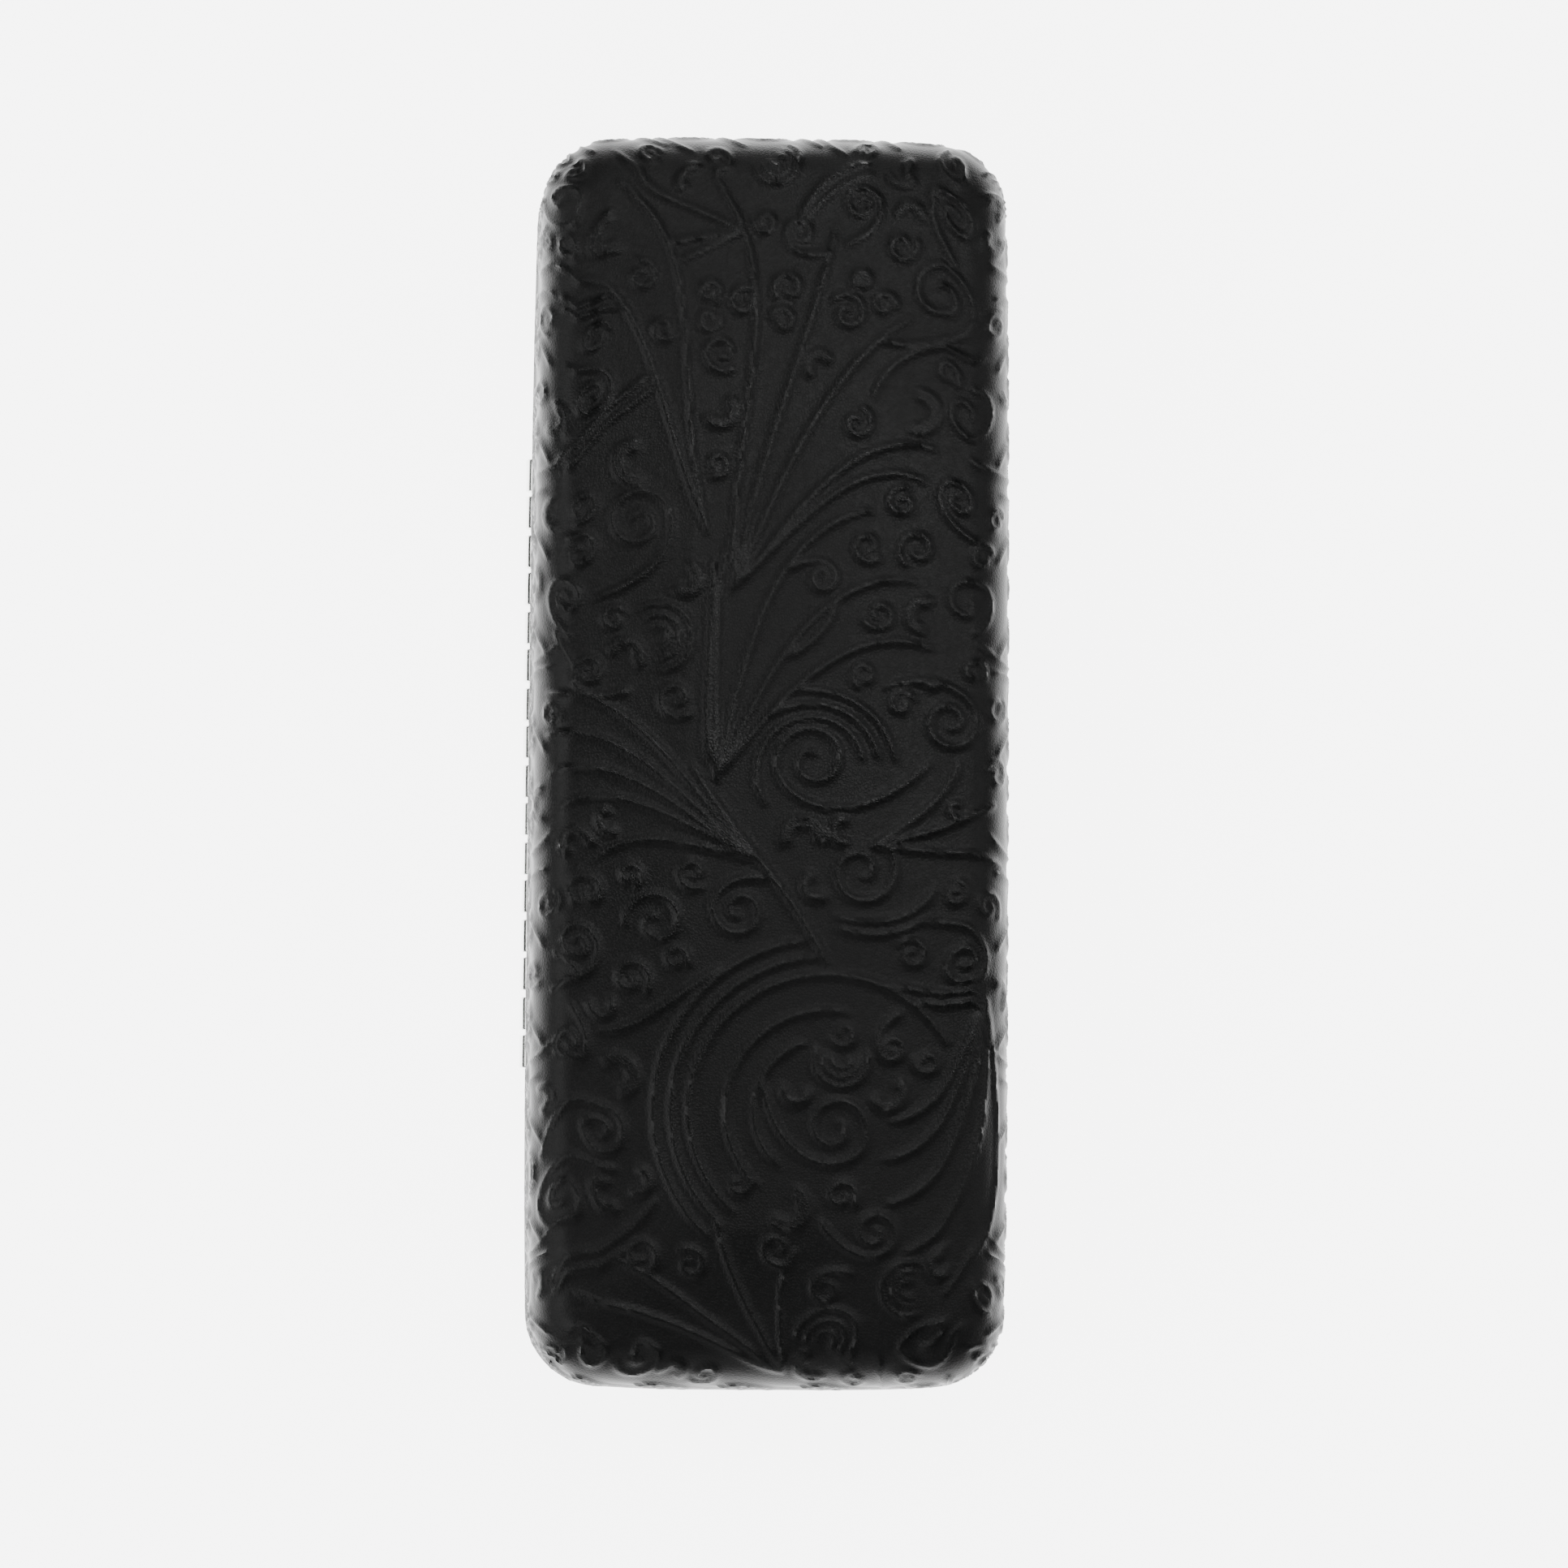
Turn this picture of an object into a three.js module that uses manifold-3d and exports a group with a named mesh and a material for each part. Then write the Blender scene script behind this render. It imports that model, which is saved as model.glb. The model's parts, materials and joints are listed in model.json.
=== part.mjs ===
// A hard clamshell case for eyeglasses: two pressed steel half shells in embossed leatherette,
// joined at the back by a knuckle hinge with two over-centre bow springs, and lined with plush.
//
// Millimetres, +Z up. X runs along the hinge, -Y is the opening side and +Y the hinge side.
// The origin is the middle of the flat underside that the case rests on.
import * as THREE from "three";
import { mergeVertices } from "three/addons/utils/BufferGeometryUtils.js";
import Module from "manifold-3d";

const wasm = await Module();
wasm.setup();

// ---------------------------------------------------------------- driving dimensions
const LENGTH = 161; // over the leather at the rim, along the hinge
const DEPTH = 62; // over the leather at the rim, front to back
const BASE_HEIGHT = 18.5; // from the underside to the middle of the seam
const LID_HEIGHT = 18.5; // from the middle of the seam to the top
const CORNER_RADIUS = 9.5; // of the outline at the rim
const CORNER_TAPER = 0.5; // radius lost by each millimetre that the outline draws in
const LEAST_CORNER = 3; // of the outline around the flat top
const SIDE_BOW = 0.4; // how far each long side swells out in the middle
const END_BOW = 0.4; // how far each short side swells out in the middle
const DRAFT = THREE.MathUtils.degToRad(3); // lean of the walls
const EDGE_RADIUS = 6; // between a wall and the top or underside
const LID_CROWN = THREE.MathUtils.degToRad(3.4); // slope of the lid's top towards its flat middle
const FLAT_INSET = 20; // from the rim's outline to the flat middle of the top
const SEAM = 0.3; // between the closed rims

const COVER_THICKNESS = 0.7; // leatherette
const STEEL_THICKNESS = 0.4;
const GLUE_GAP = 0.1; // between layers
const HEM_THICKNESS = 0.5; // leatherette skived thin and turned in over the steel's rim
const HEM_HEIGHT = 6;
const NOSE_RADIUS = 1.2; // of the leatherette where it rounds the rim
const HEM_CHAMFER = 0.3;

const PIN_RADIUS = 0.65;
const PIN_CLEARANCE = 0.05;
const LEAF_THICKNESS = 0.5;
const KNUCKLES = 16; // both leaves together
const KNUCKLE_PITCH = 5;
const KNUCKLE_LENGTH = 4.14;
const LID_LEAF_SHIFT = 0.12; // end float, taken up to one side
const LEAF_HEIGHT = 9; // from the pin's axis to the leaf's free edge
const LEAF_CORNER = 1.5;
const NOTCH_CLEARANCE = 0.3; // around the barrel, in the rims
const NOTCH_END = 1.5; // past each end of the hinge

const RIVETS = 4; // on each leaf
const RIVET_RADIUS = 0.8;
const RIVET_HOLE_CLEARANCE = 0.1;
const RIVET_SPACING = 22;
const RIVET_HEIGHT = 6.9; // above the pin's axis
const RIVET_HEAD_RADIUS = 1.5;
const RIVET_HEAD_THICKNESS = 0.4; // inside, on the leaf
const RIVET_TAIL_THICKNESS = 0.3; // outside, under the leatherette
const RIVET_HEAD_CLEARANCE = 0.2;

const TRAY_THICKNESS = 0.6; // moulded tray under the plush
const TRAY_RIM = 1.15; // from a shell's rim down to the tray's rim
const PLUSH_THICKNESS = 0.5;

const SPRING_AT = 18.5; // from the middle of the hinge to the middle of each spring
const SPRING_WIDTH = 9;
const SPRING_THICKNESS = 0.4;
const SPRING_ARM = 3.6; // from the pin's axis to each trunnion's seat
const SPRING_ANGLE = THREE.MathUtils.degToRad(67.5); // between that arm and the leaf's normal
const TRUNNION_RADIUS = 0.45;
const TRUNNION_CLEARANCE = 0.3; // in the ear's hole
const TRUNNION_END = 0.3; // from the trunnion's end to the ear's outer side
const EAR_THICKNESS = 0.6;
const EAR_GAP = 0.4; // from the spring's edge to the ear
const EAR_REACH = 1.7; // from the leaf's outer face to the ear's top
const EAR_MARGIN = 1.3; // from the hole's centre to the leaf's window edge
const EAR_ROOT = 0.3; // of the ear on the leaf at each end
const SPRING_BAY_CLEARANCE = 0.9; // around the ears, in the lining

const ROUND_STEPS = 16; // sides of a knuckle, pin or rivet
const CORNER_STEPS = 4; // segments in each corner of an outline
const ARC_STEPS = 4; // segments in the edge radius and the nose

// ---------------------------------------------------------------- sizes that follow
const STEEL_OUTER = COVER_THICKNESS + GLUE_GAP;
const STEEL_INNER = STEEL_OUTER + STEEL_THICKNESS;
const HEM_OUTER = STEEL_INNER + GLUE_GAP;
const HEM_INNER = HEM_OUTER + HEM_THICKNESS;
const BORE_RADIUS = PIN_RADIUS + PIN_CLEARANCE;
const BARREL_RADIUS = BORE_RADIUS + LEAF_THICKNESS;
const HINGE_LENGTH = (KNUCKLES - 1) * KNUCKLE_PITCH + KNUCKLE_LENGTH;
const RIM_HALF_GAP = SEAM / 2;

const HALF_LENGTH = LENGTH / 2 - END_BOW;
const HALF_DEPTH = DEPTH / 2 - SIDE_BOW;
const SIDE_STATIONS = [-0.85, -0.55, 0, 0.55, 0.85]; // of the straight stretch, where a side has points
const END_STATIONS = [0];

// How far a side stands out at a share of its straight stretch, -1 to 1.
const bow = (most, share) => most * (1 - share ** 4);

// The leaf lies flat on the steel, and the steel's bow is least at the hinge's ends.
const hingeEndShare = HINGE_LENGTH / 2 / (HALF_LENGTH - CORNER_RADIUS);
const bowAtHingeEnd = SIDE_BOW - bow(SIDE_BOW, hingeEndShare);
const WALL_FOOT = RIM_HALF_GAP + NOSE_RADIUS * (1 + Math.sin(DRAFT)); // where the rim's nose ends
const AXIS_DEPTH = STEEL_INNER + GLUE_GAP - BORE_RADIUS + bowAtHingeEnd; // under the wall's face
const AXIS_INSET = (AXIS_DEPTH - WALL_FOOT * Math.sin(DRAFT)) / Math.cos(DRAFT);
const AXIS_Y = DEPTH / 2 - AXIS_INSET;
const TRAY_OUTER = Math.max(
  AXIS_DEPTH + BARREL_RADIUS + RIVET_HEAD_THICKNESS + RIVET_HEAD_CLEARANCE,
  HEM_INNER + GLUE_GAP,
);
const TRAY_INNER = TRAY_OUTER + TRAY_THICKNESS;
const PLUSH_OUTER = TRAY_INNER + GLUE_GAP;
const PLUSH_INNER = PLUSH_OUTER + PLUSH_THICKNESS;
const STEEL_RIM_Z = RIM_HALF_GAP + COVER_THICKNESS + GLUE_GAP;
const TRAY_RIM_Z = RIM_HALF_GAP + TRAY_RIM;
const NOTCH_RADIUS = BARREL_RADIUS + NOTCH_CLEARANCE;
const NOTCH_LENGTH = HINGE_LENGTH + 2 * NOTCH_END;

// ---------------------------------------------------------------- solids and booleans
// A solid from a geometry, which is welded along its edges first; a solid is passed through.
function solid(shape) {
  if (!shape.isBufferGeometry) return shape;
  const bare = shape.clone();
  bare.deleteAttribute("normal");
  bare.deleteAttribute("uv");
  const welded = mergeVertices(bare);
  return new wasm.Manifold(
    new wasm.Mesh({
      numProp: 3,
      vertProperties: new Float32Array(welded.attributes.position.array),
      triVerts: new Uint32Array(welded.index.array),
    }),
  );
}

function geometryOf(shape) {
  if (shape.isBufferGeometry) return shape;
  const { vertProperties, triVerts } = shape.getMesh();
  return new THREE.BufferGeometry()
    .setAttribute("position", new THREE.BufferAttribute(new Float32Array(vertProperties), 3))
    .setIndex(new THREE.BufferAttribute(new Uint32Array(triVerts), 1));
}

const cut = (shape, ...tools) => tools.reduce((left, tool) => left.subtract(solid(tool)), solid(shape));
const join = (shape, ...others) => others.reduce((whole, other) => whole.add(solid(other)), solid(shape));

// A box from its lowest and highest corners.
function block([x0, y0, z0], [x1, y1, z1]) {
  const box = new THREE.BoxGeometry(x1 - x0, y1 - y0, z1 - z0);
  return box.translate((x0 + x1) / 2, (y0 + y1) / 2, (z0 + z1) / 2);
}

// A round bar along X, between two x, around the point (y, z).
function barAlongX(radius, x0, x1, y = 0, z = 0) {
  const bar = new THREE.CylinderGeometry(radius, radius, x1 - x0, ROUND_STEPS);
  return bar.rotateZ(Math.PI / 2).translate((x0 + x1) / 2, y, z);
}

// A round bar along Y, between two y, around the point (x, z).
function barAlongY(radius, y0, y1, x = 0, z = 0) {
  return new THREE.CylinderGeometry(radius, radius, y1 - y0, ROUND_STEPS).translate(x, (y0 + y1) / 2, z);
}

// ---------------------------------------------------------------- the half shells' layers
// A half shell is built dome up with its seam at z = 0. A layer is a list of rings from the flat
// middle out and down to its rim, and a ring is an outline: how far it is inset from the rim's
// outline, the radius of its corners, and its height.

// The points of an outline, anticlockwise from above.
function outline({ inset, radius }) {
  const halfLength = HALF_LENGTH - inset;
  const halfDepth = HALF_DEPTH - inset;
  const corners = [
    [1, 1, 0],
    [-1, 1, 1],
    [-1, -1, 2],
    [1, -1, 3],
  ];
  return corners.flatMap(([sx, sy, quarter]) => {
    const centre = [sx * (halfLength - radius), sy * (halfDepth - radius)];
    const arc = Array.from({ length: CORNER_STEPS + 1 }, (_, step) => {
      const angle = ((quarter + step / CORNER_STEPS) * Math.PI) / 2;
      return [centre[0] + radius * Math.cos(angle), centre[1] + radius * Math.sin(angle)];
    });
    // The side that follows this corner: a long one after the first and third corners.
    const side =
      quarter % 2 === 0
        ? SIDE_STATIONS.map((share) => [
            -sx * share * (halfLength - radius) * sy * sx,
            sy * (halfDepth + bow(SIDE_BOW, share)),
          ])
        : END_STATIONS.map((share) => [
            sx * (halfLength + bow(END_BOW, share)),
            sy * share * (halfDepth - radius),
          ]);
    return [...arc, ...side];
  });
}

// A closed surface through rings, capped by a flat face inside the first and the last of them.
function loft(rings) {
  const loops = rings.map((ring) => outline(ring).map(([x, y]) => [x, y, ring.z]));
  const count = loops[0].length;
  const points = loops.flat();
  const faces = [];
  for (let i = 0; i + 1 < loops.length; i++)
    for (let j = 0; j < count; j++) {
      const next = (j + 1) % count;
      const [a, b, c, d] = [i * count + j, i * count + next, (i + 1) * count + next, (i + 1) * count + j];
      faces.push(d, c, b, d, b, a);
    }
  const firstCentre = points.push([0, 0, rings[0].z]) - 1;
  const lastCentre = points.push([0, 0, rings.at(-1).z]) - 1;
  const last = (loops.length - 1) * count;
  for (let j = 0; j < count; j++) {
    const next = (j + 1) % count;
    faces.push(firstCentre, j, next, lastCentre, last + next, last + j);
  }
  return new THREE.BufferGeometry()
    .setAttribute("position", new THREE.BufferAttribute(new Float32Array(points.flat()), 3))
    .setIndex(faces);
}

const cornerRadius = (inset) => Math.max(CORNER_RADIUS - CORNER_TAPER * inset, LEAST_CORNER);

// The outer surface of a half shell in section, and what is parallel to it.
function section(height, crown) {
  const slope = Math.tan(DRAFT);
  const rise = Math.tan(crown);
  // The edge radius touches the wall and the crown: its centre is (centreInset, centreZ).
  const fromCrown =
    height - EDGE_RADIUS * Math.cos(crown) - (FLAT_INSET + EDGE_RADIUS * Math.sin(crown)) * rise;
  const fromWall =
    EDGE_RADIUS * Math.cos(DRAFT) + (EDGE_RADIUS * Math.sin(DRAFT) - WALL_FOOT) * slope;
  const centreZ = (fromCrown + rise * fromWall) / (1 - rise * slope);
  const centreInset = fromWall + centreZ * slope;

  // A ring on the surface that lies `depth` under the outer one, where its normal rises by `angle`.
  const ringAt = (inset, z, angle, depth) => ({
    inset: inset + depth * Math.cos(angle),
    radius: cornerRadius(inset) - depth * Math.cos(angle),
    z: z - depth * Math.sin(angle),
  });
  const wall = (z, depth) => {
    const inset = (z - WALL_FOOT) * slope;
    return { inset: inset + depth / Math.cos(DRAFT), radius: cornerRadius(inset) - depth, z };
  };
  const dome = (depth) => [
    ringAt(FLAT_INSET, height, Math.PI / 2 - crown, depth),
    ...Array.from({ length: ARC_STEPS + 1 }, (_, step) => {
      const angle = Math.PI / 2 - crown - (step / ARC_STEPS) * (Math.PI / 2 - crown - DRAFT);
      return ringAt(
        centreInset - EDGE_RADIUS * Math.cos(angle),
        centreZ + EDGE_RADIUS * Math.sin(angle),
        angle,
        depth,
      );
    }),
  ];
  const nose = Array.from({ length: ARC_STEPS + 1 }, (_, step) => {
    const angle = DRAFT - (step / ARC_STEPS) * (Math.PI / 2 + DRAFT);
    const inset = NOSE_RADIUS * (Math.cos(DRAFT) - Math.cos(angle));
    const z = RIM_HALF_GAP + NOSE_RADIUS * (1 + Math.sin(angle));
    return { inset, radius: CORNER_RADIUS - inset, z };
  });
  return { dome, wall, nose };
}

// The leatherette: over the dome, round the rim, and turned in behind the steel.
function coverGeometry({ dome, wall, nose }) {
  const hemTop = RIM_HALF_GAP + HEM_HEIGHT;
  const pocketZ = STEEL_RIM_Z - GLUE_GAP;
  const hemFoot = wall(RIM_HALF_GAP, HEM_INNER - HEM_CHAMFER);
  return loft([
    ...dome(0),
    ...nose,
    hemFoot,
    wall(RIM_HALF_GAP + HEM_CHAMFER, HEM_INNER),
    wall(hemTop, HEM_INNER),
    wall(hemTop, HEM_OUTER),
    wall(pocketZ, HEM_OUTER),
    wall(pocketZ, COVER_THICKNESS),
    ...dome(COVER_THICKNESS).reverse(),
  ]);
}

function plainLayer({ dome, wall }, outer, inner, rimZ) {
  return loft([...dome(outer), wall(rimZ, outer), wall(rimZ, inner), ...dome(inner).reverse()]);
}

// The plush lies in the tray and folds out over the tray's rim.
function plushGeometry({ dome, wall }) {
  const lipTop = TRAY_RIM_Z - GLUE_GAP;
  const lipFoot = lipTop - PLUSH_THICKNESS;
  return loft([
    ...dome(PLUSH_OUTER),
    wall(lipTop, PLUSH_OUTER),
    wall(lipTop, TRAY_OUTER),
    wall(lipFoot, TRAY_OUTER),
    wall(lipFoot, PLUSH_INNER),
    ...dome(PLUSH_INNER).reverse(),
  ]);
}

// ---------------------------------------------------------------- the hinge's pieces
// A leaf is built around the pin's axis, standing up from it, with +y towards the outside.
const leafOuterY = -BORE_RADIUS;
const leafInnerY = -BARREL_RADIUS;
const rivetXs = Array.from({ length: RIVETS }, (_, i) => (i - (RIVETS - 1) / 2) * RIVET_SPACING);
const springXs = [-SPRING_AT, SPRING_AT];
const seatY = -SPRING_ARM * Math.cos(SPRING_ANGLE);
const seatZ = SPRING_ARM * Math.sin(SPRING_ANGLE);
const earInnerX = SPRING_WIDTH / 2 + EAR_GAP;
const earOuterX = earInnerX + EAR_THICKNESS;

// The middles of one leaf's knuckles: every other one, from the first (0) or the second (1).
const knuckleXs = (first) =>
  Array.from(
    { length: KNUCKLES / 2 },
    (_, i) => (2 * i + first - (KNUCKLES - 1) / 2) * KNUCKLE_PITCH,
  );

function leafGeometry(first, shift) {
  const half = HINGE_LENGTH / 2;
  const foot = NOTCH_RADIUS;
  const outlineOfLeaf = new THREE.Shape([
    new THREE.Vector2(-half, foot),
    new THREE.Vector2(half, foot),
    new THREE.Vector2(half, LEAF_HEIGHT - LEAF_CORNER),
    new THREE.Vector2(half - LEAF_CORNER, LEAF_HEIGHT),
    new THREE.Vector2(LEAF_CORNER - half, LEAF_HEIGHT),
    new THREE.Vector2(-half, LEAF_HEIGHT - LEAF_CORNER),
  ]);
  // Extruding runs along +Z, so the plate is stood up: its own y becomes z, and its depth -y.
  const plate = new THREE.ExtrudeGeometry(outlineOfLeaf, { depth: LEAF_THICKNESS, bevelEnabled: false });
  plate.rotateX(Math.PI / 2).translate(0, leafOuterY, 0);
  const rivetHoles = rivetXs.map((x) =>
    barAlongY(RIVET_RADIUS + RIVET_HOLE_CLEARANCE, leafInnerY - 1, leafOuterY + 1, x, RIVET_HEIGHT),
  );
  const windows = springXs.map((x) =>
    block([x - earOuterX, leafInnerY - 1, seatZ - EAR_MARGIN], [x + earOuterX, leafOuterY + 1, seatZ + EAR_MARGIN]),
  );

  const ears = springXs.flatMap((x) =>
    [-1, 1].map((side) => {
      const xs = [x + side * earInnerX, x + side * earOuterX].sort((a, b) => a - b);
      const ear = block(
        [xs[0], leafOuterY - EAR_REACH, seatZ - EAR_MARGIN - EAR_ROOT],
        [xs[1], leafOuterY, seatZ + EAR_MARGIN + EAR_ROOT],
      );
      const hole = barAlongX(TRUNNION_RADIUS + TRUNNION_CLEARANCE, xs[0] - 1, xs[1] + 1, seatY, seatZ);
      return cut(ear, hole);
    }),
  );
  const knuckles = knuckleXs(first).map((x) => {
    const [x0, x1] = [x - KNUCKLE_LENGTH / 2, x + KNUCKLE_LENGTH / 2];
    const strap = block([x0, leafInnerY, 0], [x1, leafOuterY, foot + LEAF_THICKNESS]);
    return cut(join(barAlongX(BARREL_RADIUS, x0, x1), strap), barAlongX(BORE_RADIUS, x0 - 1, x1 + 1));
  });
  const pierced = cut(plate, ...rivetHoles, ...windows);
  return join(pierced, ...ears, ...knuckles).translate([shift, 0, 0]);
}

// A rivet through the leaf and the steel. Its tail is under the leatherette.
const steelOuterY = AXIS_DEPTH - STEEL_OUTER;
function rivetGeometry() {
  const tailY = steelOuterY + GLUE_GAP / 2;
  return join(
    barAlongY(RIVET_RADIUS, leafInnerY - RIVET_HEAD_THICKNESS / 2, tailY + RIVET_TAIL_THICKNESS / 2),
    barAlongY(RIVET_HEAD_RADIUS, leafInnerY - GLUE_GAP / 2 - RIVET_HEAD_THICKNESS, leafInnerY - GLUE_GAP / 2),
    barAlongY(RIVET_HEAD_RADIUS, tailY, tailY + RIVET_TAIL_THICKNESS),
  );
}

// A bow spring: a half ring of strip, with a trunnion at each end. It is built around the pin's axis
// in the closed case, where the seats of both leaves lean in by the draft.
function springGeometry() {
  const seatAngle = SPRING_ANGLE - DRAFT;
  const centreY = -SPRING_ARM * Math.cos(seatAngle);
  const halfSpan = SPRING_ARM * Math.sin(seatAngle);
  const strip = new THREE.Shape()
    .absarc(0, 0, halfSpan + SPRING_THICKNESS / 2, Math.PI / 2, (3 * Math.PI) / 2, false)
    .absarc(0, 0, halfSpan - SPRING_THICKNESS / 2, (3 * Math.PI) / 2, Math.PI / 2, true);
  const bowed = new THREE.ExtrudeGeometry(strip, {
    depth: SPRING_WIDTH,
    bevelEnabled: false,
    curveSegments: ROUND_STEPS,
  });
  // The strip's plane is turned to YZ, with the bow towards the inside of the case.
  bowed.applyMatrix4(
    new THREE.Matrix4().makeBasis(
      new THREE.Vector3(0, 1, 0),
      new THREE.Vector3(0, 0, 1),
      new THREE.Vector3(1, 0, 0),
    ),
  );
  bowed.translate(-SPRING_WIDTH / 2, centreY, 0);
  const trunnions = [-1, 1].map((side) =>
    barAlongX(TRUNNION_RADIUS, TRUNNION_END - earOuterX, earOuterX - TRUNNION_END, centreY, side * halfSpan),
  );
  return join(bowed, ...trunnions);
}

// ---------------------------------------------------------------- materials
const material = (colour, roughness, metalness = 0) =>
  new THREE.MeshStandardMaterial({ color: colour, roughness, metalness });
const leatherette = () => material(0x1c1c1d, 0.5);
const steel = () => material(0x8c8f92, 0.45, 1);
const nickel = () => material(0xcfd2d0, 0.2, 1);
const springSteel = () => material(0x9a9ca0, 0.3, 1);
const moulded = () => material(0x242326, 0.7);
const plush = () => material(0x4b3f5e, 0.95);

function named(name, shape, look) {
  const mesh = new THREE.Mesh(geometryOf(shape), look);
  mesh.name = name;
  return mesh;
}

// ---------------------------------------------------------------- a half of the case
// Built dome up, with the hinge on the side `hingeSide` (+1 or -1) of Y.
function halfCase({ prefix, height, crown, hingeSide, firstKnuckle, leafShift }) {
  const group = new THREE.Group();
  const cuts = section(height, crown);
  const axisY = hingeSide * AXIS_Y;
  const fromAxis = (inwards) => axisY - hingeSide * inwards;
  const ordered = (a, b) => (a < b ? [a, b] : [b, a]);

  // Room for the barrel in the rims of the leatherette and the steel.
  const notch = barAlongX(NOTCH_RADIUS, -NOTCH_LENGTH / 2, NOTCH_LENGTH / 2, axisY, 0);
  const rimFloor = -1;
  const [hemY0, hemY1] = ordered(
    hingeSide * (DEPTH / 2 - COVER_THICKNESS - GLUE_GAP / 2),
    fromAxis(PLUSH_INNER + 1),
  );
  const hemWindow = block(
    [-NOTCH_LENGTH / 2, hemY0, rimFloor],
    [NOTCH_LENGTH / 2, hemY1, RIM_HALF_GAP + HEM_HEIGHT + 1],
  );
  // The leaf's frame: at the pin, leaning in with the wall.
  const leafFrame = new THREE.Group();
  leafFrame.position.set(0, axisY, 0);
  leafFrame.rotation.set(hingeSide * DRAFT, 0, hingeSide > 0 ? 0 : Math.PI);
  leafFrame.updateMatrix();
  const inLeafFrame = (geometry) => geometry.clone().applyMatrix4(leafFrame.matrix);
  const turn = hingeSide > 0 ? 1 : -1; // x runs backwards in a leaf frame that faces the other way

  const rivetHoles = rivetXs.map((x) =>
    inLeafFrame(
      barAlongY(RIVET_RADIUS + RIVET_HOLE_CLEARANCE, leafInnerY, steelOuterY + 1, x, RIVET_HEIGHT),
    ),
  );
  const tailPockets = rivetXs.map((x) =>
    inLeafFrame(
      barAlongY(
        RIVET_HEAD_RADIUS + RIVET_HEAD_CLEARANCE,
        leafInnerY,
        steelOuterY + GLUE_GAP + RIVET_TAIL_THICKNESS,
        x,
        RIVET_HEIGHT,
      ),
    ),
  );

  group.add(
    named(`${prefix}_leatherette_cover`, cut(coverGeometry(cuts), notch, hemWindow, ...tailPockets), leatherette()),
    named(
      `${prefix}_steel_shell`,
      cut(plainLayer(cuts, STEEL_OUTER, STEEL_INNER, STEEL_RIM_Z), notch, ...rivetHoles),
      steel(),
    ),
  );

  // Bays in the lining, around the springs and their ears.
  const bayHalf = earOuterX + SPRING_BAY_CLEARANCE;
  const [bayY0, bayY1] = ordered(axisY, fromAxis(PLUSH_INNER + EDGE_RADIUS / 2));
  const bays = springXs.map((x) =>
    block([x - bayHalf, bayY0, rimFloor], [x + bayHalf, bayY1, seatZ + EAR_MARGIN + SPRING_BAY_CLEARANCE]),
  );
  group.add(
    named(
      `${prefix}_liner_tray`,
      cut(plainLayer(cuts, TRAY_OUTER, TRAY_INNER, TRAY_RIM_Z), ...bays),
      moulded(),
    ),
    named(`${prefix}_plush_lining`, cut(plushGeometry(cuts), ...bays), plush()),
  );

  leafFrame.add(named(`${prefix}_hinge_leaf`, leafGeometry(firstKnuckle, leafShift), nickel()));
  rivetXs.forEach((x, i) => {
    const rivet = named(`${prefix}_hinge_rivet_${i + 1}`, rivetGeometry(), nickel());
    rivet.position.set(turn * x, 0, RIVET_HEIGHT);
    leafFrame.add(rivet);
  });
  group.add(leafFrame);
  return group;
}

// ---------------------------------------------------------------- the whole case
function eyeglassesCase() {
  const whole = new THREE.Group();
  const lid = halfCase({
    prefix: "lid",
    height: LID_HEIGHT,
    crown: LID_CROWN,
    hingeSide: 1,
    firstKnuckle: 0,
    leafShift: LID_LEAF_SHIFT,
  });
  lid.position.z = BASE_HEIGHT;

  // The base is the same thing turned over about the hinge's direction, with a flat underside.
  const base = halfCase({
    prefix: "base",
    height: BASE_HEIGHT,
    crown: 0,
    hingeSide: -1,
    firstKnuckle: 0,
    leafShift: 0,
  });
  base.position.z = BASE_HEIGHT;
  base.rotation.x = Math.PI;

  const hinge = new THREE.Group();
  hinge.position.set(0, AXIS_Y, BASE_HEIGHT);
  hinge.add(named("hinge_pin", barAlongX(PIN_RADIUS, -HINGE_LENGTH / 2, HINGE_LENGTH / 2), nickel()));
  const springNames = ["snap_spring_left", "snap_spring_right"];
  springXs.forEach((x, i) => {
    const spring = named(springNames[i], springGeometry(), springSteel());
    spring.position.x = x;
    hinge.add(spring);
  });
  whole.add(base, lid, hinge);
  return whole;
}

export default eyeglassesCase();
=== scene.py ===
# %% [markdown]
# # A hard case for eyeglasses
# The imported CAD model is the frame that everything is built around: it says where each piece is, how
# big it is and which body it moves with. The looks are made here, in metres, in the same frame.

# %% Load the frame
import json
import math

import bpy
import numpy as np
from mathutils import Matrix, Vector

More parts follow.
